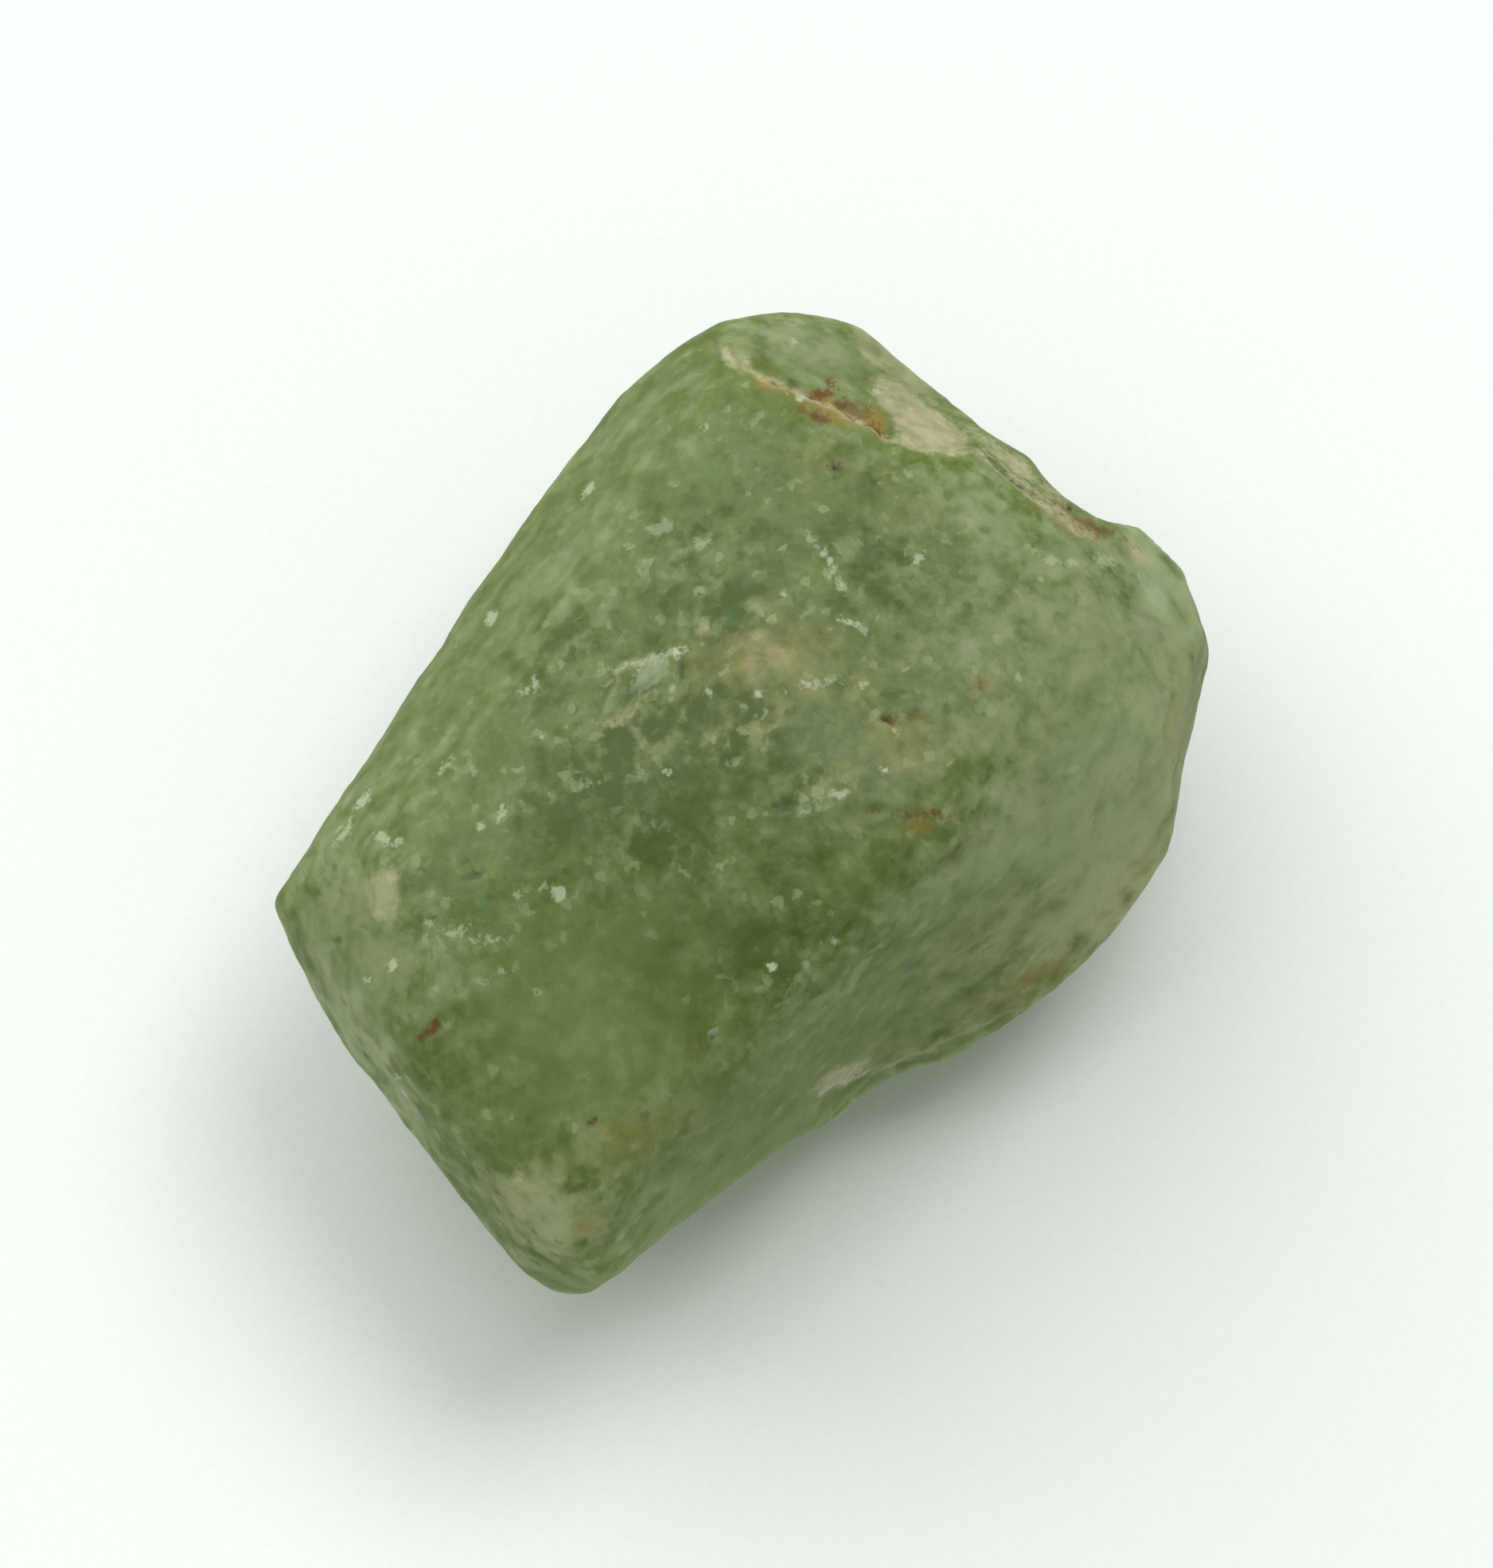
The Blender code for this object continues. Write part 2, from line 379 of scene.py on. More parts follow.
FLECKS = marked(
    (816, 849, 0.36, 0.15, 40, 0.45),
    (1058, 1362, 0.36, 0.05, 24, 0.8),
    (850, 819, 0.07, 0.05, 0, 1.2),
    (810, 829, 0.38, 0.03, 16, 0.8),
    (702, 1122, 0.13, 0.13, 30, 0.9),
    (681, 1115, 0.08, 0.05, 30, 0.7),
    (650, 1124, 0.05, 0.05, 0, 0.7),
    (664, 1148, 0.05, 0.05, 0, 0.5),
    (971, 1214, 0.075, 0.07, 0, 1.4),
    (1048, 1182, 0.05, 0.06, 0, 0.9),
    (457, 1003, 0.13, 0.07, 60, 0.9),
    (434, 1043, 0.20, 0.06, 62, 0.8),
    (480, 1052, 0.17, 0.07, -35, 0.8),
    (498, 1060, 0.09, 0.08, 0, 0.7),
    (493, 1214, 0.10, 0.07, 50, 1.0),
    (462, 1231, 0.09, 0.05, 0, 0.9),
    (538, 1160, 0.07, 0.06, 0, 0.7),
    (572, 1171, 0.20, 0.035, 25, 0.7),
    (612, 1181, 0.19, 0.035, 0, 0.7),
    (630, 1220, 0.05, 0.05, 0, 0.6),
    (606, 1233, 0.10, 0.06, 0, 0.5),
    (548, 1242, 0.05, 0.05, 0, 0.5),
    (676, 1246, 0.06, 0.05, 0, 0.5),
    (504, 1374, 0.08, 0.05, -40, 1.2),
    (500, 1354, 0.06, 0.04, 0, 0.9),
    (894, 1300, 0.10, 0.035, 60, 0.7),
    (652, 1482, 0.08, 0.06, 60, 0.6),
    (663, 866, 0.12, 0.045, 20, 0.9),
    (670, 858, 0.045, 0.10, 0, 0.8),
    (616, 777, 0.10, 0.13, 0, 0.85),
    (740, 614, 0.14, 0.06, 50, 0.9),
    (684, 926, 0.05, 0.05, 0, 0.8),
    (838, 972, 0.055, 0.055, 0, 1.0),
    (891, 870, 0.055, 0.05, 0, 0.9),
    (952, 872, 0.06, 0.07, 0, 0.8),
    (986, 744, 0.05, 0.05, 0, 0.9),
    (1020, 680, 0.14, 0.045, -45, 0.6),
    (1040, 705, 0.16, 0.04, -60, 0.9),
    (1055, 735, 0.12, 0.04, -55, 0.8),
    (1066, 781, 0.17, 0.045, -12, 1.0),
    (1085, 790, 0.10, 0.06, -60, 0.5),
    (1027, 859, 0.24, 0.035, 6, 0.8),
    (1084, 860, 0.07, 0.06, 0, 0.8),
    (1055, 997, 0.11, 0.06, 0, 0.8),
    (1030, 1012, 0.20, 0.03, 20, 0.5),
    (740, 985, 0.12, 0.03, 15, 0.5),
    (630, 1020, 0.10, 0.045, 70, 0.8),
    (602, 1038, 0.06, 0.05, 0, 0.8),
    (560, 961, 0.11, 0.03, 60, 0.6),
    (593, 966, 0.10, 0.03, -60, 0.4),
    (803, 966, 0.10, 0.05, 80, 0.4),
    (924, 957, 0.12, 0.06, 0, 0.4),
    (789, 686, 0.06, 0.05, 0, 0.6),
    (831, 663, 0.20, 0.10, 15, 0.45),
    (882, 681, 0.16, 0.06, -20, 0.45),
    (861, 1097, 0.13, 0.04, -40, 0.4),
    (907, 1087, 0.13, 0.05, 30, 0.45),
    (1114, 968, 0.07, 0.04, 0, 1.1),
    (1124, 920, 0.07, 0.07, 0, 0.6),
    (1153, 701, 0.12, 0.06, 45, 0.8),
    (885, 536, 0.05, 0.05, 0, 0.9),
    (1004, 499, 0.10, 0.04, -10, 0.9),
    (1142, 595, 0.05, 0.04, 0, 0.7),
    (1104, 604, 0.05, 0.04, 0, 0.7),
    (1104, 484, 0.07, 0.07, 0, 0.7),
    (999, 424, 0.05, 0.04, 0, 0.7),
    (1322, 704, 0.14, 0.07, -10, 0.55),
    (1346, 708, 0.10, 0.05, 0, 0.6),
    (1385, 704, 0.20, 0.07, -6, 0.55),
    (1396, 708, 0.08, 0.05, 0, 0.5),
    (1300, 690, 0.10, 0.06, -30, 0.4),
    (1307, 730, 0.05, 0.05, 0, 0.5),
    (1450, 745, 0.34, 0.12, -55, 0.35),
    (1279, 851, 0.06, 0.05, 30, 0.5),
    (1254, 802, 0.05, 0.05, 0, 0.4),
    (1348, 967, 0.12, 0.04, 10, 0.4),
    (1382, 983, 0.05, 0.05, 0, 0.4),
    (1394, 1020, 0.10, 0.03, 75, 0.4),
    (1322, 1110, 0.09, 0.05, 0, 0.4),
    (1004, 1226, 0.30, 0.03, 55, 0.4),
)
DEEP = marked(
    (905, 765, 0.9, 0.6, 0, 0.7),
    (700, 820, 1.1, 0.45, 50, 0.65),
    (760, 960, 1.3, 0.6, 40, 0.9),
    (820, 1050, 1.0, 0.6, 20, 0.9),
    (940, 920, 0.7, 0.7, 0, 0.85),
    (1100, 700, 0.7, 0.5, 0, 0.6),
    (960, 1180, 0.9, 0.45, 40, 0.8),
    (860, 690, 0.5, 0.3, 0, 0.5),
    (1030, 980, 0.5, 0.35, 0, 0.6),
    (850, 1250, 1.6, 0.8, 50, 0.4),
    (830, 985, 1.2, 0.6, 20, 0.6),
    (1215, 1205, 0.6, 0.35, 20, 0.3),
)
# Milky, clouded places. Most are the stone's own milkiness; the strip along the steep left end and
# the marks on the bottom corner and the low right end also paint fill light on faces that turn away
# from the lamps.
MILK_AND_FILL_LIGHT = marked(
    (1340, 820, 2.2, 1.9, -30, 0.65),
    (1340, 990, 1.9, 1.3, 40, 0.75),
    (1445, 930, 1.7, 0.8, 80, 0.85),
    (1400, 1070, 1.4, 0.8, 60, 0.75),
    (1250, 1190, 1.4, 0.8, 35, 0.45),
    (600, 830, 4.2, 0.7, 54, 0.2),
    (450, 1040, 1.2, 0.6, 55, 0.4),
    (800, 540, 1.6, 0.9, 50, 0.3),
    (470, 1200, 1.9, 1.0, -58, 0.9),
    (470, 1330, 2.3, 0.35, -58, 0.8),
    (760, 1290, 1.5, 1.2, 0, 0.35),
    (850, 1500, 1.9, 0.5, 38, 0.4),
    (1010, 430, 0.9, 0.5, -20, 0.95),
    (1470, 790, 1.1, 0.35, -65, 0.8),
    (1375, 708, 0.9, 0.20, -5, 0.7),
    (1065, 1200, 4.2, 0.55, 40, 0.4),
    (1380, 1130, 1.2, 0.8, 45, 0.8),
    (690, 1530, 1.0, 0.8, 45, 0.9),
    (1240, 640, 1.6, 0.45, -38, 0.5),
    (1440, 715, 0.9, 0.4, -30, 0.6),
)
WARM = marked(
    (1000, 850, 1.2, 0.9, 0, 0.55),
    (880, 880, 0.5, 0.6, 0, 0.4),
    (1400, 1110, 1.3, 0.7, 50, 0.9),
    (1240, 1180, 1.2, 0.5, 35, 0.5),
    (1100, 600, 1.4, 0.35, -25, 0.45),
    (1130, 960, 1.0, 0.7, 20, 0.4),
    (690, 1530, 0.9, 0.7, -40, 0.85),
    (790, 1430, 0.9, 0.4, 20, 0.5),
    (1300, 1230, 1.1, 0.4, 30, 0.6),
    (1470, 930, 1.7, 0.6, 80, 0.6),
    (1110, 1330, 1.0, 0.3, 25, 0.4),
)
CLEAR = marked(
    (760, 1290, 2.4, 2.0, 0, 0.95),
    (900, 1470, 1.8, 0.8, 40, 0.7),
    (1370, 850, 2.0, 1.8, 0, 0.75),
    (1400, 1050, 1.6, 1.4, 0, 0.6),
    (450, 1230, 1.9, 1.0, -58, 0.8),
    (1130, 1260, 3.0, 1.0, 38, 0.6),
    (600, 830, 4.6, 0.8, 54, 0.7),
    (800, 530, 1.8, 0.8, 50, 0.6),
    (1240, 1090, 1.5, 0.9, 40, 0.7),
    (1040, 440, 1.1, 0.6, -20, 0.8),
    (860, 1180, 1.5, 1.0, 0, 0.4),
    (840, 1000, 1.3, 0.6, 15, 0.7),
    (1475, 770, 1.0, 0.4, -62, 0.7),
    (1440, 710, 0.9, 0.4, -30, 0.7),
    (1250, 655, 1.6, 0.5, -38, 0.5),
)
# Paler places. Part of this is the real frosted look of the shoulder, the right end and the band
# along the front ridge; part is painted fill light on the front, the low right end, the bottom
# corner and the steep left end, which face away from the lamps.
PALE_FROST_AND_FILL_LIGHT = marked(
    (600, 830, 4.4, 0.6, 54, 0.3),
    (1240, 1090, 1.3, 0.5, 42, 0.4),
    (1330, 1000, 1.5, 0.7, 40, 0.45),
    (1480, 765, 1.0, 0.35, -62, 0.55),
    (1250, 655, 1.6, 0.5, -38, 0.45),
    (1455, 715, 0.9, 0.4, -35, 0.7),
    (1070, 560, 1.0, 0.25, -25, 0.4),
    (700, 720, 1.2, 0.18, 47, 0.3),
    (775, 640, 0.8, 0.20, 45, 0.25),
    (1340, 1080, 1.4, 0.6, 45, 0.4),
    (1200, 1220, 1.6, 0.5, 38, 0.35),
    (690, 1530, 0.9, 0.6, -40, 0.85),
    (850, 1490, 1.7, 0.4, 38, 0.3),
    (950, 1320, 1.6, 0.35, 40, 0.2),
    (1180, 1120, 1.6, 0.4, 42, 0.25),
    (1440, 930, 1.8, 0.6, 80, 0.5),
    (1400, 1090, 1.3, 0.6, 55, 0.85),
    (1340, 1180, 0.9, 0.4, 35, 0.5),
    (1340, 820, 1.6, 1.4, 0, 0.15),
    (1180, 1300, 1.2, 0.35, 28, 0.4),
    (1130, 1250, 1.0, 0.35, 30, 0.3),
    (470, 1340, 1.9, 0.25, -58, 0.75),
)
LIT = marked(
    (760, 1290, 1.5, 1.2, 0, 0.3),
    (850, 1520, 1.9, 0.35, 38, 0.6),
    (1000, 1420, 1.2, 0.3, 38, 0.5),
)
ROUNDED = marked((1485, 900, 1.6, 0.8, 80, 0.3))
STREAKS = marked(
    (600, 830, 4.6, 0.9, 54, 0.9),
    (790, 560, 2.0, 0.9, 50, 0.8),
    (1090, 1220, 2.6, 0.6, 38, 0.7),
    (1340, 1150, 1.4, 0.5, 40, 0.6),
)
VEILS = {
    "deep": DEEP,
    "milk": MILK_AND_FILL_LIGHT,
    "warm": WARM,
    "clear": CLEAR,
    "pale": PALE_FROST_AND_FILL_LIGHT,
    "lit": LIT,
    "streak": STREAKS,
}
STAINS = {
    "rust": Stain(RUST, 0.06, 1.0, 0.08, 0.05, 0.85),
    # Painted shade along the creases of the breaks, and dark spots; both are sunk into pits.
    "dark": Stain(CREASE_SHADE_AND_DARK_SPOTS, 0.05, 1.0, 0.03, 0.04, 0.8),
    "ochre": Stain(OCHRE, 0.12, 0.0, 0.12, 0.16, 0.85),
    "cream": Stain(CREAM, 0.10, 0.35, 0.05, 0.07, 1.0),
    "fleck": Stain(FLECKS, 0.03, 0.5, 0.06, 0.035, 0.9),
}

# Widths of the material's patterns, in mm
MOTTLE_WIDTH = 0.48
DRIFT_WIDTH = 1.7
FINE_WIDTH = 0.10
SHARD_WIDTH = 0.15
SHARD_BEND = 0.09
STREAK_WIDTH = 0.5
STREAK_STRETCH = 2
PORE_WIDTH = 0.08
PORE_DEPTH = 0.01
TOOTH_WIDTH = 0.15

# How much of each pattern goes into the values that steer the layers. The tone steers the
# deep and the milky one.
SHADE_IN_TONE = 2.9
SHARD_IN_TONE = 0.42
DRIFT_IN_TONE = 0.7
RED_IN_WARMTH = 1.8
SHADE_IN_PALENESS = 0.8
SHADE_IN_RIDGES = 0.15

# How much of the mottle and of the small damage is missing where the stone is clear, and how
# bright the hollows of the paper are
CLEAR_OF_MOTTLE = 0.8
CLEAR_OF_WEAR = 0.9
TOOTH_SHADE = 0.985

LAYERS = {
    "deep": Layer(-0.15, 0.95, 1.0),
    "milky": Layer(0.0, 1.1, 0.9),
    "warm": Layer(0.05, 1.05, 0.8),
    "cool": Layer(0.50, 0.68, 0.24),
    "pale": Layer(0.05, 1.0, 0.9),
    "frosty": Layer(0.1, 0.8, 1.0),
    "streaked": Layer(0.45, 0.75, 0.35),
    "chipped": Layer(0.80, 1.0, 0.5),
    "chipped patches": Layer(0.42, 0.56, 1.0),
    "pitted": Layer(0.80, 1.0, 0.3),
    "rubbed": Layer(0.03, 0.12, 0.4),
    "wall": Layer(0.30, 0.60, 1.0, 0.35),
    "cream shards": Layer(0.0, 1.0, 0.98, 0.78),
    "cream patches": Layer(0.38, 0.60, 1.0, 0.68),
    "rough": Layer(0.3, 0.9, 0.60, 0.38),
}
TINTS = (
    "deep", "green", "milky", "warm", "lit", "teal",
    "frost_and_fill_light", "scar", "cream", "ochre", "rust", "dark",
)


def srgb(red, green, blue):
    """A colour for a shader from the three numbers that a screen shows."""
    parts = []
    for shown in (red, green, blue):
        part = shown / 255
        if part <= 0.04045:
            parts.append(part / 12.92)
        else:
            parts.append(((part + 0.055) / 1.055) ** 2.4)
    return tuple(parts)


def size_mm(name, default, description):
    return bpy.props.FloatProperty(
        name=name, default=default * MM, min=0, unit="LENGTH", precision=5, description=description
    )


def angle(name, default, description):
    return bpy.props.FloatProperty(
        name=name, default=math.radians(default), unit="ROTATION", description=description
    )


def tint(name, default, description):
    return bpy.props.FloatVectorProperty(
        name=name, default=default, min=0, max=1, size=3, subtype="COLOR", description=description
    )


def share(name, default, description):
    return bpy.props.FloatProperty(
        name=name, default=default, min=0, max=1, subtype="FACTOR", description=description
    )


class StoneShape(bpy.types.PropertyGroup):
    """Sizes of the stone's skin."""

    net: size_mm("Net", 0.080, "Width of one mesh of the skin's net")
    allowance: size_mm("Allowance", 0.06, "How far the block stands proud before it is rubbed")
    wear_rounds: bpy.props.IntProperty(
        name="Wear", default=32, min=0, description="How often the ridges are rubbed"
    )
    crown_rounds: bpy.props.IntProperty(
        name="Crown wear", default=350, min=0, description="How often the crown is rubbed"
    )
    swell: size_mm("Swell", 0.22, "Height of the broad waves in the faces")
    ripple: size_mm("Ripple", 0.08, "Height of the narrow waves in the faces")
    grain: size_mm("Grain", 0.011, "Height of the fine grain of the faces")
    pit: size_mm("Pit", 0.05, "Depth of the pits under the stains and flecks")


class StoneColours(bpy.types.PropertyGroup):
    """Colours and finish of the stone."""

    deep: tint("Deep green", srgb(90, 112, 16), "Where the stone is clear and thick")
    green: tint("Green", srgb(126, 147, 74), "Most of the stone")
    # The milky colour also carries painted fill light on faces turned away from the lamps.
    milky: tint("Milky green", srgb(170, 182, 132), "Where fine cracks cloud the stone")
    warm: tint("Olive", srgb(174, 164, 94), "Where iron has crept in")
    lit: tint("Lit green", srgb(152, 176, 88), "Where light comes through a thin edge")
    teal: tint("Cool green", srgb(112, 148, 90), "Cool patches of the mottle")
    # The frost colour is also the painted fill light that the pale veil lays on faces turned away
    # from the lamps.
    frost_and_fill_light: tint("Frost", srgb(190, 204, 156), "Rubbed ridges and faint flecks")
    scar: tint("Scar", srgb(218, 228, 196), "Fresh breaks")
    cream: tint("Cream", srgb(220, 211, 168), "Weathered breaks")
    ochre: tint("Ochre", srgb(180, 144, 66), "Faint iron stain")
    rust: tint("Rust", srgb(136, 78, 30), "Strong iron stain")
    # This colour is painted shade in the creases beside the breaks, and the colour of the dark
    # spots.
    dark: tint("Dark green", srgb(64, 72, 24), "Cracks and pits that hold grime")
    absorbed: tint("Body colour", srgb(198, 222, 84), "What light keeps of its colour inside")
    density: bpy.props.FloatProperty(
        name="Body density", default=160, min=0, description="How soon light is absorbed, per metre"
    )
    clearness: share("Clearness", 0.4, "How much light passes into the stone")
    glow: size_mm("Glow", 2.0, "How far light spreads in the cloudy part of the stone")
    index: bpy.props.FloatProperty(
        name="Refractive index", default=1.67, min=1, max=3, description="Of olivine"
    )
    gloss: share("Gloss", 0.22, "How strongly the worn skin mirrors the room")


class StageLook(bpy.types.PropertyGroup):
    """The paper, the light and the camera."""

    paper: tint("Paper", srgb(244, 247, 246), "Colour of the paper")
    room: bpy.props.FloatProperty(
        name="Room light", default=0.418, min=0, description="Brightness of the white room"
    )
    right_lamp: bpy.props.FloatProperty(
        name="Right lamp", default=3.22, min=0, unit="POWER", description="Off the right end"
    )
    back_lamp: bpy.props.FloatProperty(
        name="Back lamp", default=5.80, min=0, unit="POWER", description="Behind the back side"
    )
    azimuth: angle("Azimuth", -50, "Of the camera")
    elevation: angle("Elevation", 74, "Of the camera")
    distance: size_mm("Distance", 300, "From the camera to the heart of the stone")


class CameraPlace(NamedTuple):
    """Where the camera stands, the directions of its picture, and its pixels per metre."""

    eye: Vector
    right: Vector
    up: Vector
    back: Vector
    focus: float


def camera_place(look):
    """The camera's place for the stage's angles and distance."""
    a, e = look.azimuth, look.elevation
    right = Vector((math.cos(a), math.sin(a), 0))
    back = Vector((math.sin(a) * math.cos(e), -math.cos(a) * math.cos(e), math.sin(e)))
    up = back.cross(right)
    aside = (FRAME_WIDTH / 2 - HEART_PIXEL[0]) / PIXELS_PER_MM * MM
    above = (HEART_PIXEL[1] - FRAME_HEIGHT / 2) / PIXELS_PER_MM * MM
    eye = HEART + right * aside + up * above + back * look.distance
    return CameraPlace(eye, right, up, back, look.distance * PIXELS_PER_MM / MM)


def on_skin(place, surface, across, down):
    """The point of the skin that shows at a pixel, or the nearest point of the skin to it."""
    aside = (across - HEART_PIXEL[0]) / PIXELS_PER_MM * MM
    above = (HEART_PIXEL[1] - down) / PIXELS_PER_MM * MM
    through = HEART + place.right * aside + place.up * above
    point = surface.ray_cast(place.eye, through - place.eye)[0]
    if point is None:
        point = surface.find_nearest(through)[0]
    return point


def seen_at(points, place):
    """The pixels of the frame that points show at."""
    apart = points - np.array(place.eye)
    scale = place.focus / -(apart @ np.array(place.back))
    across = FRAME_WIDTH / 2 + apart @ np.array(place.right) * scale
    down = FRAME_HEIGHT / 2 - apart @ np.array(place.up) * scale
    return np.stack([across, down], 1)


def new_object(name, mesh):
    obj = bpy.data.objects.new(name, mesh)
    bpy.context.scene.collection.objects.link(obj)
    return obj


def applied(obj, name):
    """The mesh that an object's modifiers make. The object is deleted."""
    worn = obj.evaluated_get(bpy.context.evaluated_depsgraph_get())
    mesh = bpy.data.meshes.new_from_object(worn)
    mesh.name = name
    plain = obj.data
    bpy.data.objects.remove(obj)
    bpy.data.meshes.remove(plain)
    return mesh


def read_vectors(items, name):
    vectors = np.empty(len(items) * 3)
    items.foreach_get(name, vectors)
    return vectors.reshape(-1, 3)


def write_points(mesh, points):
    mesh.vertices.foreach_set("co", points.ravel())
    mesh.update()


def write_mask(mesh, name, values):
    mask = mesh.attributes.new(name, "FLOAT", "POINT")
    mask.data.foreach_set("value", values.astype(np.float32))


def direction(bearing, height):
    """The unit direction of a bearing and a height above level, both in degrees."""
    turn, rise = math.radians(bearing), math.radians(height)
    level = math.cos(rise)
    return level * math.cos(turn), level * math.sin(turn), math.sin(rise)


def plane_reach(aims, face):
    """How far the heart is from a face along each direction, in mm."""
    towards = aims @ np.array(direction(face.bearing, face.tilt))
    return np.where(towards > 0, face.reach / np.maximum(towards, TINY), np.inf)


def chip_span(aims, chip):
    """Where each direction from the heart enters a chip and leaves it, in mm."""
    turn = Matrix.Rotation(math.radians(chip.bearing), 3, "Z")
    turn = np.array(turn @ Matrix.Rotation(math.radians(-chip.tilt), 3, "Y"))
    radii = np.array(chip.radii)
    step = aims @ turn / radii
    start = (np.array((0, 0, HEART_HEIGHT)) - np.array(chip.centre)) @ turn / radii
    square = (step * step).sum(1)
    middle = -(step @ start) / square
    spare = middle * middle - (start @ start - 1) / square
    half = np.sqrt(np.maximum(spare, 0))
    entry = np.where(spare > 0, middle - half, np.inf)
    return entry, middle + half


def block_reach(aims):
    """How far the block reaches from its heart in each direction, in mm."""
    reach = np.full(len(aims), np.inf)
    for face in FACES.values():
        reach = np.minimum(reach, plane_reach(aims, face))
    for floor, wall in SPLINTERS.values():
        stop = np.maximum(plane_reach(aims, floor), plane_reach(aims, wall))
        reach = np.minimum(reach, stop)
    for chip in CHIPS.values():
        entry, leave = chip_span(aims, chip)
        reach = np.where((entry < reach) & (reach < leave), entry, reach)
    return reach


def waves(obj, name, height, width):
    """Lifts and sinks the faces in soft waves."""
    texture = bpy.data.textures.new(name, "CLOUDS")
    texture.noise_scale = width * MM
    lift = obj.modifiers.new(name, "DISPLACE")
    lift.texture = texture
    lift.texture_coords = "LOCAL"
    lift.strength = height


def fine_skin(solid, shape):
    """A fine, even net over the block, with its ridges rubbed and its faces waved."""
    bm = bmesh.new()
    bm.from_mesh(solid.data)
    bmesh.ops.remove_doubles(bm, verts=bm.verts, dist=WELD)
    bmesh.ops.translate(bm, verts=bm.verts, vec=-BLOCK_PLACE)
    mesh = bpy.data.meshes.new("solid_skin")
    bm.to_mesh(mesh)
    bm.free()
    obj = new_object("even_skin", mesh)
    net = obj.modifiers.new("even_net", "REMESH")
    net.mode = "VOXEL"
    net.voxel_size = shape.net
    mesh = applied(obj, "even_skin")
    heart = np.array((0, 0, HEART_HEIGHT))
    aims = read_vectors(mesh.vertices, "co") / MM - heart
    aims /= np.linalg.norm(aims, axis=1)[:, None]
    reach = block_reach(aims) + shape.allowance / MM
    write_points(mesh, (heart + aims * reach[:, None]) * MM)
    obj = new_object("block_skin", mesh)
    rub = obj.modifiers.new("rubbed_ridges", "SMOOTH")
    rub.factor = RUBBED_SHARE
    rub.iterations = shape.wear_rounds
    waves(obj, "swells", shape.swell, SWELL_WIDTH)
    waves(obj, "ripples", shape.ripple, RIPPLE_WIDTH)
    mesh = applied(obj, "raw_peridot")
    write_points(mesh, read_vectors(mesh.vertices, "co") + np.array(BLOCK_PLACE))
    return mesh


def cloud(points, width, seed):
    """Soft noise at each point, from about -1 to 1."""
    shift = Vector((seed, seed * 0.7, -seed * 0.4))
    scale = 1 / (width * MM)
    return np.array(
        [noise.fractal(Vector(p) * scale + shift, 1, 2, CLOUD_OCTAVES) for p in points]
    )


def smooth_over(mesh, points, rounds):
    """The points evened out with their neighbours a number of times."""
    ends = np.empty(len(mesh.edges) * 2, int)
    mesh.edges.foreach_get("vertices", ends)
    one, other = ends.reshape(-1, 2).T
    many = len(points)
    count = np.bincount(one, minlength=many) + np.bincount(other, minlength=many)
    columns = []
    for values in points.T:
        for _ in range(rounds):
            total = np.bincount(one, values[other], many) + np.bincount(other, values[one], many)
            values = (1 - RUBBED_SHARE) * values + RUBBED_SHARE * total / count
        columns.append(values)
    return np.stack(columns, 1)


def steps(values, start, end):
    """0 before start and 1 past end, with a soft rise between them."""
    part = np.clip((values - start) / (end - start), 0, 1)
    return part * part * (3 - 2 * part)


def mark_reach(points, place, surface, mark, depth):
    """Each point's distance from a mark's middle, where 1 is the mark's rim."""
    centre = on_skin(place, surface, mark.across, mark.down)
    turn = math.radians(mark.turn)
    along = place.right * math.cos(turn) + place.up * math.sin(turn)
    across = place.up * math.cos(turn) - place.right * math.sin(turn)
    apart = (points - np.array(centre)) / MM
    a = apart @ np.array(along) / mark.half_length
    b = apart @ np.array(across) / max(mark.half_width, LEAST_HALF_WIDTH)
    c = apart @ np.array(place.back) / (max(mark.half_length, mark.half_width) * depth)
    return np.sqrt(a * a + b * b + c * c)


def gap_to(points, place, surface, marks):
    """How far each point is outside the nearest of the marks, in mm, and that mark's strength.

    The gap is below 0 inside a mark.
    """
    nearest = np.full(len(points), WIDEST_GAP)
    strength = np.zeros(len(points))
    for mark in marks:
        thin = min(mark.half_length, mark.half_width)
        gap = (mark_reach(points, place, surface, mark, MARK_DEPTH) - 1) * thin
        strength = np.where(gap < nearest, mark.strength, strength)
        nearest = np.minimum(nearest, gap)
    return nearest, strength


def veil(points, place, surface, marks):
    """A soft mask, fullest at the middle of the marks and 0 away from them."""
    left = np.ones(len(points))
    for mark in marks:
        reach = mark_reach(points, place, surface, mark, VEIL_DEPTH)
        left *= 1 - mark.strength * np.exp(-reach * reach)
    return 1 - left


def along_break(seen, line):
    """Each point's distance to a break's line, in mm and above 0 on its lower side, and how
    much of the break is left there, from 1 at its middle to 0 past its ends."""
    best = np.full(len(seen), np.inf)
    side = np.zeros(len(seen))
    place = np.zeros(len(seen))
    path = np.array(line.path, float)
    lengths = np.linalg.norm(path[1:] - path[:-1], axis=1)
    starts = np.concatenate([[0], np.cumsum(lengths)[:-1]])
    for start, end, length, before in zip(path[:-1], path[1:], lengths, starts):
        towards = (end - start) / length
        apart = seen - start
        along = np.clip(apart @ towards, 0, length)
        off = apart - along[:, None] * towards
        distance = np.linalg.norm(off, axis=1)
        right_hand = apart @ np.array((-towards[1], towards[0]))
        closer = distance < best
        best = np.where(closer, distance, best)
        side = np.where(closer, np.sign(right_hand), side)
        place = np.where(closer, (before + along) / lengths.sum(), place)
    left = steps(place, 0, BREAK_TAPER) * steps(1 - place, 0, BREAK_TAPER)
    return side * best / PIXELS_PER_MM, left


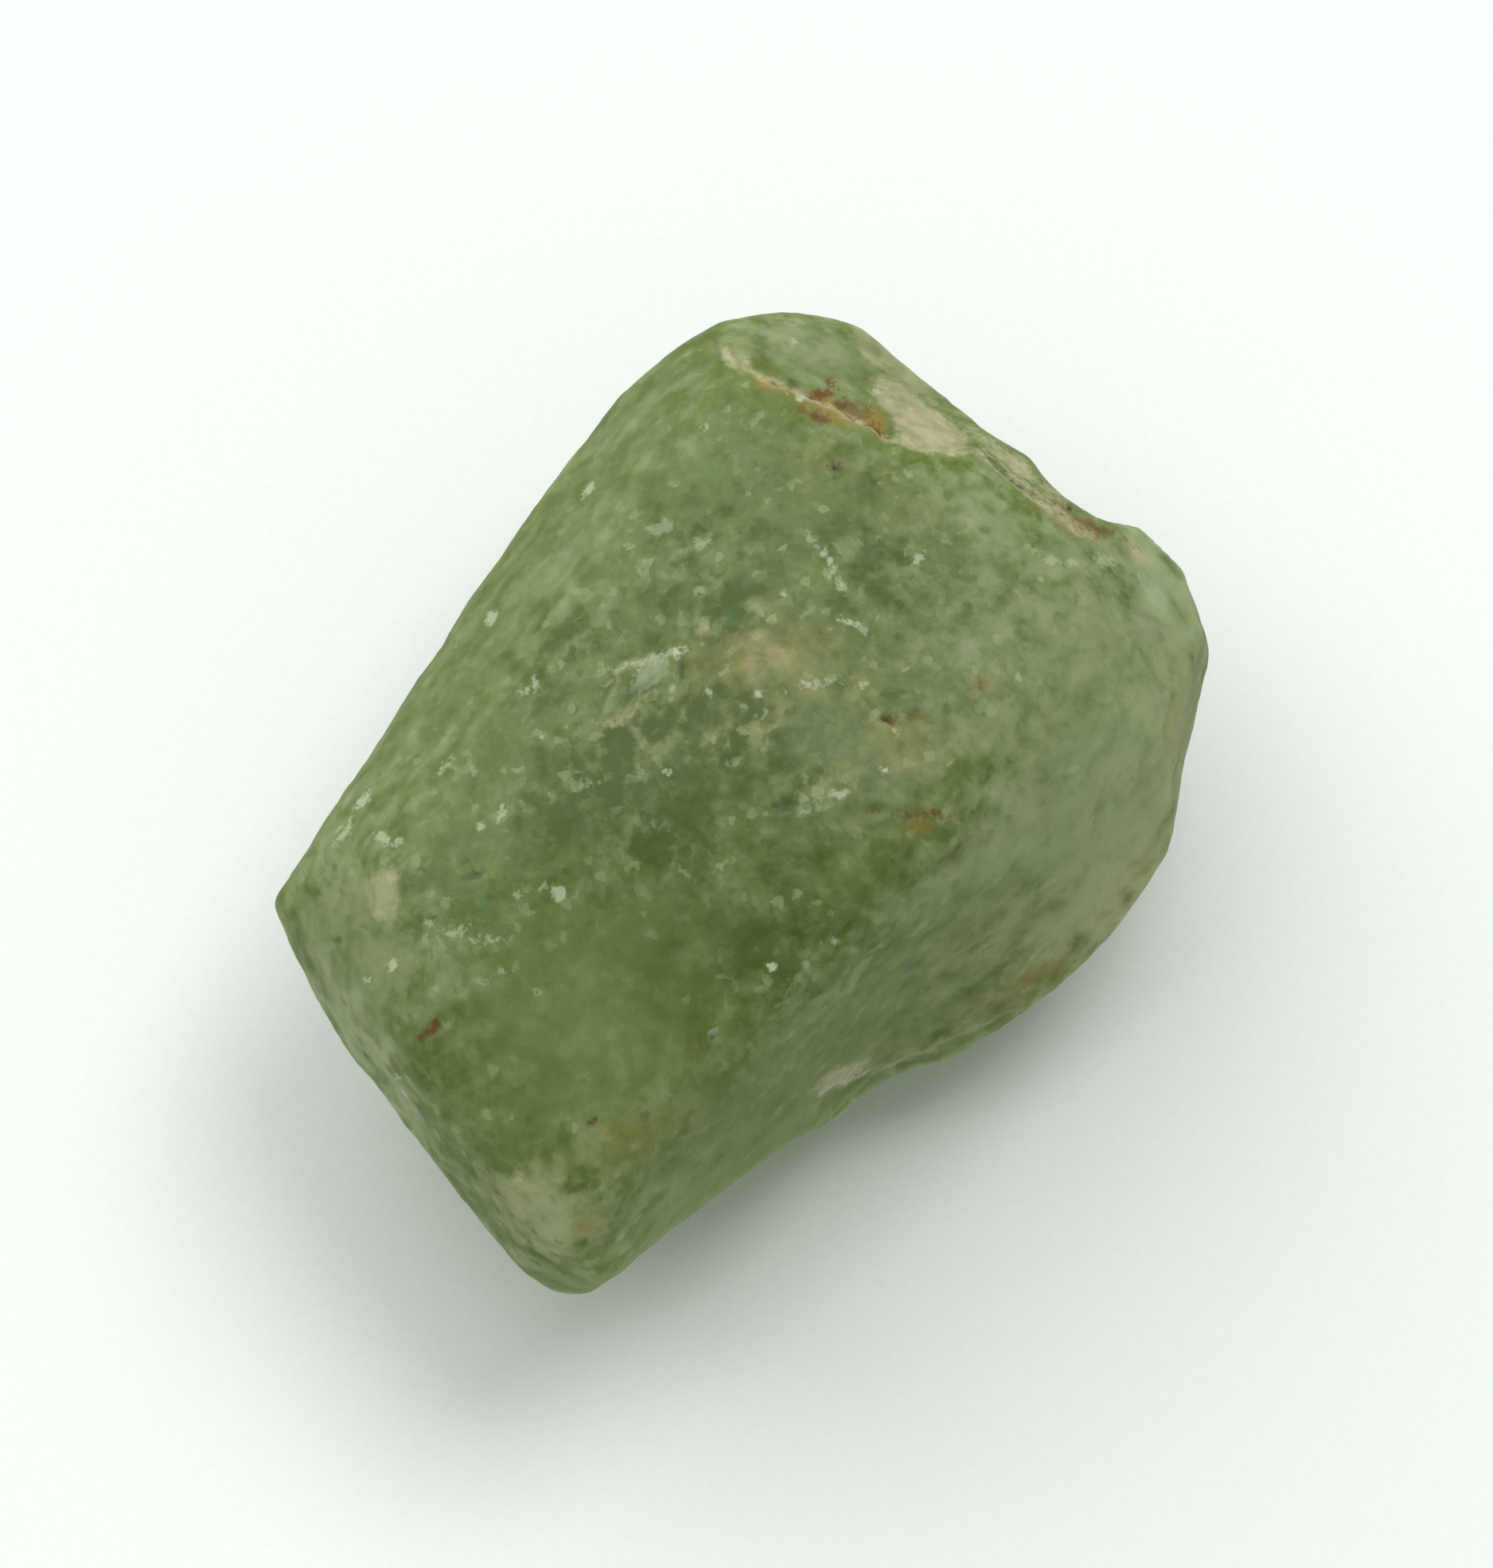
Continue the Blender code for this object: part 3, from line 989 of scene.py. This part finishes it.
def search_tree(mesh, points):
    sides = [polygon.vertices[:] for polygon in mesh.polygons]
    return BVHTree.FromPolygons(points.tolist(), sides)


def rub_crown(mesh, shape, place):
    """Rubs the crown and the right end smooth, and masks the ridges that stood there."""
    points = read_vectors(mesh.vertices, "co")
    normals = read_vectors(mesh.vertices, "normal")
    standing = ((points - smooth_over(mesh, points, RIDGE_ROUNDS)) * normals).sum(1) / MM
    surface = search_tree(mesh, points)
    crown = np.clip((points[:, 2] / MM - CROWN_FOOT) / CROWN_RISE, 0, 1)
    worn = np.maximum(crown, veil(points, place, surface, ROUNDED))[:, None]
    points = points + (smooth_over(mesh, points, shape.crown_rounds) - points) * worn
    write_points(mesh, points)
    write_mask(mesh, "ridge", standing)
    return points


def draw_stains(mesh, points, bend, place, surface):
    """Writes the masks of the small marks. Gives the depth of their pits, where 1 is full."""
    depth = np.zeros(len(points))
    for name, stain in STAINS.items():
        gap, strength = gap_to(points + bend * stain.bend, place, surface, stain.marks)
        write_mask(mesh, name, gap)
        write_mask(mesh, name + "_strength", strength)
        depth += stain.pit * steps(-gap, *PIT_RIM)
    return depth


def draw_breaks(mesh, points, bend, place, facing):
    """Writes the mask of the breaks' pale walls. Gives how far the skin drops, in metres."""
    seen = seen_at(points + bend * BREAK_BEND, place)
    wall = np.zeros(len(points))
    fall = np.zeros(len(points))
    for line in BREAKS.values():
        distance, left = along_break(seen, line)
        left = left * facing
        drop = steps(distance, *DROP_RIM) * (1 - steps(distance, DROP_RIM[1], line.reach))
        fall += line.drop * MM * drop * left
        far_rim = steps(distance, line.wall, line.wall + WALL_FADE)
        band = steps(distance, *WALL_RIM) * (1 - far_rim)
        wall = np.maximum(wall, band * left * line.strength)
    write_mask(mesh, "wall", wall)
    return fall


def shape_stone(solid, shape, look):
    """The stone's mesh, with its relief and its masks."""
    mesh = fine_skin(solid, shape)
    place = camera_place(look)
    points = rub_crown(mesh, shape, place)
    surface = search_tree(mesh, points)
    normals = read_vectors(mesh.vertices, "normal")
    facing = steps(normals @ np.array(place.back), *FACING)
    bend = np.stack([cloud(points, BEND_WIDTH, seed) for seed in BEND_SEEDS], 1) * MM
    lift = shape.grain * cloud(points, GRAIN_WIDTH, GRAIN_SEED)
    lift -= shape.pit * draw_stains(mesh, points, bend, place, surface) * facing
    soft = points + bend * VEIL_BEND
    for name, marks in VEILS.items():
        write_mask(mesh, name, veil(soft, place, surface, marks))
    lift -= draw_breaks(mesh, points, bend, place, facing)
    low, high = (np.array(corner) for corner in CAD_BOX)
    moved = np.clip(points + normals * lift[:, None], low, high)
    resting = points[:, 2] < RESTING_HEIGHT * MM
    moved[resting, 2] = low[2]
    write_points(mesh, moved)
    mesh.shade_smooth()
    return mesh


def add_node(tree, kind, inputs=None, **settings):
    """A node with its settings, its values and its links."""
    node = tree.nodes.new(kind)
    for name, value in settings.items():
        setattr(node, name, value)
    for socket, value in (inputs or {}).items():
        if isinstance(value, bpy.types.NodeSocket):
            tree.links.new(value, node.inputs[socket])
        else:
            node.inputs[socket].default_value = value
    return node


def math_node(tree, operation, *values):
    node = add_node(tree, "ShaderNodeMath", dict(enumerate(values)), operation=operation)
    return node.outputs[0]


def times(tree, *values):
    """The product of values."""
    product = values[0]
    for value in values[1:]:
        product = math_node(tree, "MULTIPLY", product, value)
    return product


def plus(tree, *values):
    """The sum of values."""
    total = values[0]
    for value in values[1:]:
        total = math_node(tree, "ADD", total, value)
    return total


def blend(tree, factor, under, over):
    """One colour laid over another."""
    node = add_node(tree, "ShaderNodeMix", {0: factor, 6: under, 7: over}, data_type="RGBA")
    return node.outputs[2]


def ramp(tree, value, start, end, low=0.0, high=1.0):
    """Turns values from start to end softly into low to high."""
    node = add_node(
        tree,
        "ShaderNodeMapRange",
        {"Value": value, "From Min": start, "From Max": end, "To Min": low, "To Max": high},
        interpolation_type="SMOOTHSTEP",
    )
    return node.outputs["Result"]


def grown(tree, name, value):
    """A layer's share at a value of what steers it."""
    layer = LAYERS[name]
    return ramp(tree, value, layer.start, layer.full, layer.least, layer.most)


def about_zero(tree, value):
    """Moves a value that wanders around a half, so that it wanders around zero."""
    return math_node(tree, "SUBTRACT", value, 0.5)


def rest_of(tree, value, part):
    """What is left of 1 when a part of a value is taken from it."""
    return math_node(tree, "SUBTRACT", 1.0, times(tree, value, part))


def noise_node(tree, position, width, detail, rough):
    """Noise whose lumps are about width mm wide, as a value and as a colour."""
    node = add_node(
        tree,
        "ShaderNodeTexNoise",
        {"Vector": position, "Scale": 1 / width, "Detail": detail, "Roughness": rough},
    )
    return node.outputs["Fac"], node.outputs["Color"]


def parts(tree, colour):
    """The red, green and blue of a colour."""
    return dict(add_node(tree, "ShaderNodeSeparateColor", {"Color": colour}).outputs.items())


def attribute(tree, name):
    return add_node(tree, "ShaderNodeAttribute", attribute_name=name).outputs["Fac"]


def in_mm(tree):
    """The object's own coordinates in millimetres."""
    place = add_node(tree, "ShaderNodeTexCoord").outputs["Object"]
    node = add_node(tree, "ShaderNodeVectorMath", {0: place, "Scale": 1 / MM}, operation="SCALE")
    return node.outputs[0]


def stretched(tree, position, along):
    """Coordinates in which a pattern is drawn out along the stone's length."""
    node = add_node(
        tree, "ShaderNodeVectorMath", {0: position, 1: (1 / along, 1, 1)}, operation="MULTIPLY"
    )
    return node.outputs[0]


def ragged_patch_group():
    """A node group that turns the gap to a mark into a mask with a ragged rim."""
    tree = bpy.data.node_groups.new("ragged_patch", "ShaderNodeTree")
    face = tree.interface
    for name, default in (
        ("Gap", 1.0),
        ("Strength", 1.0),
        ("Lumps", 0.5),
        ("Raggedness", 0.1),
        ("Softness", 0.05),
    ):
        socket = face.new_socket(name, in_out="INPUT", socket_type="NodeSocketFloat")
        socket.default_value = default
    face.new_socket("Mask", in_out="OUTPUT", socket_type="NodeSocketFloat")
    given = tree.nodes.new("NodeGroupInput").outputs
    lumps = math_node(tree, "SUBTRACT", given["Lumps"], 0.5)
    gap = plus(tree, given["Gap"], times(tree, lumps, given["Raggedness"], 4.0))
    inside = math_node(tree, "DIVIDE", gap, given["Softness"])
    mask = times(tree, ramp(tree, inside, 1.0, -1.0), given["Strength"])
    taken = tree.nodes.new("NodeGroupOutput")
    tree.links.new(mask, taken.inputs["Mask"])
    return tree


def patch(tree, group, name, lumps):
    """The mask of one kind of mark, with its rim roughened by lumps."""
    stain = STAINS[name]
    inputs = {
        "Gap": attribute(tree, name),
        "Strength": attribute(tree, name + "_strength"),
        "Lumps": lumps,
        "Raggedness": stain.ragged,
        "Softness": stain.soft,
    }
    node = add_node(tree, "ShaderNodeGroup", inputs, node_tree=group)
    return times(tree, node.outputs["Mask"], stain.cover)


class Patterns(NamedTuple):
    """The sockets that the stone's patterns come out of. The dicts have red, green and blue."""

    mottle: bpy.types.NodeSocket  # soft patches
    hue: dict  # soft patches
    drift: bpy.types.NodeSocket  # broad clouds
    grain: bpy.types.NodeSocket  # fine lumps
    fine: dict  # fine lumps
    shard: dict  # small angular fields
    mottled: bpy.types.NodeSocket  # how strongly the patches show
    worn: bpy.types.NodeSocket  # how strongly the small damage shows
    shade: bpy.types.NodeSocket  # the soft patches as they show, around zero


def stone_patterns(tree, position):
    mottle, hues = noise_node(tree, position, MOTTLE_WIDTH, 3, 0.6)
    grain, grains = noise_node(tree, position, FINE_WIDTH, 2, 0.6)
    bend = {0: grains, 1: (SHARD_BEND, SHARD_BEND, SHARD_BEND), 2: position}
    bent = add_node(tree, "ShaderNodeVectorMath", bend, operation="MULTIPLY_ADD").outputs[0]
    shards = add_node(tree, "ShaderNodeTexVoronoi", {"Vector": bent, "Scale": 1 / SHARD_WIDTH})
    clear = attribute(tree, "clear")
    mottled = rest_of(tree, clear, CLEAR_OF_MOTTLE)
    return Patterns(
        mottle=mottle,
        hue=parts(tree, hues),
        drift=noise_node(tree, position, DRIFT_WIDTH, 1, 0.5)[0],
        grain=grain,
        fine=parts(tree, grains),
        shard=parts(tree, shards.outputs["Color"]),
        mottled=mottled,
        worn=rest_of(tree, clear, CLEAR_OF_WEAR),
        shade=times(tree, about_zero(tree, mottle), mottled),
    )


def body_colour(tree, rgb, seen):
    """The stone's green, with its deep, olive and cool places, milky and pale places that also
    carry painted fill light, and lit places that are a painted glow of light coming through.
    """
    facet = times(tree, about_zero(tree, seen.shard["Red"]), seen.mottled)
    redder = times(tree, about_zero(tree, seen.hue["Red"]), seen.mottled)
    tone = plus(
        tree,
        times(tree, seen.shade, SHADE_IN_TONE),
        times(tree, facet, SHARD_IN_TONE),
        times(tree, about_zero(tree, seen.drift), DRIFT_IN_TONE),
    )
    deepness = math_node(tree, "SUBTRACT", attribute(tree, "deep"), tone)
    milkiness_and_fill_light = plus(tree, attribute(tree, "milk"), tone)
    warmth = plus(tree, attribute(tree, "warm"), times(tree, redder, RED_IN_WARMTH))
    coolness = times(tree, grown(tree, "cool", seen.hue["Green"]), seen.mottled)
    pale_frost_and_fill = plus(tree, attribute(tree, "pale"), times(tree, seen.shade, SHADE_IN_PALENESS))
    colour = blend(tree, grown(tree, "deep", deepness), rgb["green"], rgb["deep"])
    # Milky places, partly painted fill light.
    colour = blend(tree, grown(tree, "milky", milkiness_and_fill_light), colour, rgb["milky"])
    colour = blend(tree, grown(tree, "warm", warmth), colour, rgb["warm"])
    colour = blend(tree, coolness, colour, rgb["teal"])
    # Frost, and painted fill light on the faces turned away from the lamps.
    colour = blend(tree, grown(tree, "pale", pale_frost_and_fill), colour, rgb["frost_and_fill_light"])
    return blend(tree, attribute(tree, "lit"), colour, rgb["lit"])


def worn_colour(tree, rgb, seen, position, colour, rub):
    """Lays frosted streaks, small chips and pits, and rubbed ridges over a colour."""
    drawn_out = stretched(tree, position, STREAK_STRETCH)
    streaks = noise_node(tree, drawn_out, STREAK_WIDTH, 1, 0.5)[0]
    frosty = grown(tree, "frosty", attribute(tree, "streak"))
    streaked = times(tree, grown(tree, "streaked", streaks), frosty)
    colour = blend(tree, streaked, colour, rgb["frost_and_fill_light"])
    chipped = grown(tree, "chipped", seen.shard["Green"])
    chips = times(tree, chipped, grown(tree, "chipped patches", seen.mottle), seen.worn)
    colour = blend(tree, chips, colour, rgb["frost_and_fill_light"])
    pits = times(tree, grown(tree, "pitted", seen.shard["Blue"]), seen.worn)
    colour = blend(tree, pits, colour, rgb["deep"])
    return blend(tree, rub, colour, rgb["frost_and_fill_light"])


def stained_colour(tree, rgb, seen, colour):
    """Lays the stains, the breaks, the flecks, and the painted shade in creases with the dark
    spots, over a colour.
    """
    group = ragged_patch_group()
    colour = blend(tree, patch(tree, group, "ochre", seen.mottle), colour, rgb["ochre"])
    wall = times(tree, attribute(tree, "wall"), grown(tree, "wall", seen.grain))
    cream = math_node(tree, "MAXIMUM", patch(tree, group, "cream", seen.grain), wall)
    in_shards = grown(tree, "cream shards", seen.shard["Red"])
    in_patches = grown(tree, "cream patches", seen.mottle)
    colour = blend(tree, times(tree, cream, in_shards, in_patches), colour, rgb["cream"])
    colour = blend(tree, patch(tree, group, "fleck", seen.grain), colour, rgb["scar"])
    colour = blend(tree, patch(tree, group, "rust", seen.fine["Red"]), colour, rgb["rust"])
    # Painted shade in the creases beside the breaks, and dark spots.
    return blend(tree, patch(tree, group, "dark", seen.grain), colour, rgb["dark"])


def stone_material(colours):
    """Translucent yellow-green crystal with a worn, flecked and stained skin."""
    material = bpy.data.materials.new("raw_peridot_crystal")
    material.use_nodes = True
    tree = material.node_tree
    shader = tree.nodes["Principled BSDF"]
    output = tree.nodes["Material Output"]
    position = in_mm(tree)
    rgb = {name: (*getattr(colours, name), 1) for name in TINTS}
    seen = stone_patterns(tree, position)
    rubbed = plus(tree, attribute(tree, "ridge"), times(tree, seen.shade, SHADE_IN_RIDGES))
    rub = grown(tree, "rubbed", rubbed)
    colour = body_colour(tree, rgb, seen)
    colour = worn_colour(tree, rgb, seen, position, colour, rub)
    colour = stained_colour(tree, rgb, seen, colour)
    tree.links.new(colour, shader.inputs["Base Color"])
    rough = grown(tree, "rough", plus(tree, seen.mottle, rub))
    tree.links.new(rough, shader.inputs["Roughness"])
    pores = noise_node(tree, position, PORE_WIDTH, 0, 0.5)[0]
    relief = {"Strength": 0.30, "Distance": PORE_DEPTH * MM, "Height": pores}
    bump = add_node(tree, "ShaderNodeBump", relief)
    tree.links.new(bump.outputs["Normal"], shader.inputs["Normal"])
    shader.inputs["Metallic"].default_value = 0
    shader.inputs["IOR"].default_value = colours.index
    shader.inputs["Specular IOR Level"].default_value = colours.gloss
    shader.inputs["Transmission Weight"].default_value = colours.clearness
    shader.inputs["Subsurface Weight"].default_value = 1
    shader.inputs["Subsurface Radius"].default_value = (1, 1, 1)
    shader.inputs["Subsurface Scale"].default_value = colours.glow
    body = {"Color": (*colours.absorbed, 1), "Density": colours.density}
    inside = add_node(tree, "ShaderNodeVolumeAbsorption", body)
    tree.links.new(inside.outputs["Volume"], output.inputs["Volume"])
    return material


def paper_material(look):
    """Smooth pale paper with a faint tooth."""
    material = bpy.data.materials.new("pale_paper")
    material.use_nodes = True
    tree = material.node_tree
    shader = tree.nodes["Principled BSDF"]
    tooth = noise_node(tree, in_mm(tree), TOOTH_WIDTH, 1, 0.6)[0]
    darker = tuple(part * TOOTH_SHADE for part in look.paper)
    colour = blend(tree, ramp(tree, tooth, 0.3, 0.7), (*darker, 1), (*look.paper, 1))
    tree.links.new(colour, shader.inputs["Base Color"])
    shader.inputs["Roughness"].default_value = 0.9
    shader.inputs["Specular IOR Level"].default_value = 0.2
    return material


class PERIDOT_OT_stone(bpy.types.Operator):
    """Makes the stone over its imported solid"""

    bl_idname = "peridot.stone"
    bl_label = "Make the Stone"
    bl_options = {"REGISTER", "UNDO"}

    def execute(self, context):
        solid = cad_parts["peridot"]
        scene = context.scene
        mesh = shape_stone(solid, scene.peridot_shape, scene.peridot_stage)
        mesh.materials.clear()
        mesh.materials.append(stone_material(scene.peridot_colours))
        stone = new_object("raw_peridot", mesh)
        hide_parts("peridot")
        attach(stone, "root")
        return {"FINISHED"}


class PERIDOT_OT_stage(bpy.types.Operator):
    """Lays the paper, and sets the light and the camera"""

    bl_idname = "peridot.stage"
    bl_label = "Set the Stage"
    bl_options = {"REGISTER", "UNDO"}

    def execute(self, context):
        look = context.scene.peridot_stage
        lay_paper(look)
        light_room(context.scene, look)
        set_camera(context.scene, look)
        return {"FINISHED"}


def lay_paper(look):
    bm = bmesh.new()
    bmesh.ops.create_grid(
        bm, x_segments=PAPER_MESHES, y_segments=PAPER_MESHES, size=PAPER_WIDTH / 2
    )
    mesh = bpy.data.meshes.new("paper")
    bm.to_mesh(mesh)
    bm.free()
    mesh.materials.append(paper_material(look))
    paper = new_object("paper", mesh)
    paper.visible_glossy = False


def light_room(scene, look):
    """A white room, and two soft lamps behind the stone's back side and its right end."""
    world = bpy.data.worlds.new("white_room")
    world.use_nodes = True
    back = world.node_tree.nodes["Background"]
    back.inputs["Color"].default_value = ROOM_TINT
    back.inputs["Strength"].default_value = look.room
    scene.world = world
    for kind, most in BOUNCES.items():
        setattr(scene.cycles, kind, most)
    for name, place in LAMPS.items():
        lamp = bpy.data.lights.new(name, "AREA")
        lamp.shape = "DISK"
        lamp.size = place.width
        lamp.energy = getattr(look, name)
        holder = bpy.data.objects.new(name, lamp)
        holder.visible_glossy = False
        scene.collection.objects.link(holder)
        towards = Vector(direction(place.bearing, place.height))
        holder.location = HEART + towards * LAMP_DISTANCE
        holder.rotation_mode = "QUATERNION"
        holder.rotation_quaternion = (-towards).to_track_quat("-Z", "Y")


def set_camera(scene, look):
    place = camera_place(look)
    data = bpy.data.cameras.new("camera")
    data.sensor_width = CAMERA_SENSOR
    data.lens = CAMERA_SENSOR * place.focus / FRAME_HEIGHT
    data.clip_start = NEAREST_SEEN
    data.clip_end = FURTHEST_SEEN
    camera = bpy.data.objects.new("camera", data)
    scene.collection.objects.link(camera)
    camera.location = place.eye
    camera.rotation_mode = "QUATERNION"
    camera.rotation_quaternion = (-place.back).to_track_quat("-Z", "Y")
    scene.camera = camera
    scene.view_settings.view_transform = "Standard"


class PERIDOT_PT_panel(bpy.types.Panel):
    """Lists what the add-on makes"""

    bl_idname = "PERIDOT_PT_panel"
    bl_label = "Raw Peridot"
    bl_space_type = "VIEW_3D"
    bl_region_type = "UI"
    bl_category = "Raw Peridot"

    def draw(self, context):
        scene = context.scene
        for title, group, operator in (
            ("Shape", scene.peridot_shape, None),
            ("Colours", scene.peridot_colours, "peridot.stone"),
            ("Stage", scene.peridot_stage, "peridot.stage"),
        ):
            box = self.layout.box()
            box.label(text=title)
            for name in group.__annotations__:
                box.prop(group, name)
            if operator:
                box.operator(operator)


CLASSES = (
    StoneShape,
    StoneColours,
    StageLook,
    PERIDOT_OT_stone,
    PERIDOT_OT_stage,
    PERIDOT_PT_panel,
)
GROUPS = {
    "peridot_shape": StoneShape,
    "peridot_colours": StoneColours,
    "peridot_stage": StageLook,
}


def register():
    for item in CLASSES:
        bpy.utils.register_class(item)
    for name, group in GROUPS.items():
        setattr(bpy.types.Scene, name, bpy.props.PointerProperty(type=group))


def unregister():
    for name in GROUPS:
        delattr(bpy.types.Scene, name)
    for item in reversed(CLASSES):
        bpy.utils.unregister_class(item)


def main():
    register()
    bpy.ops.peridot.stage()
    bpy.ops.peridot.stone()


if __name__ == "__main__":
    main()
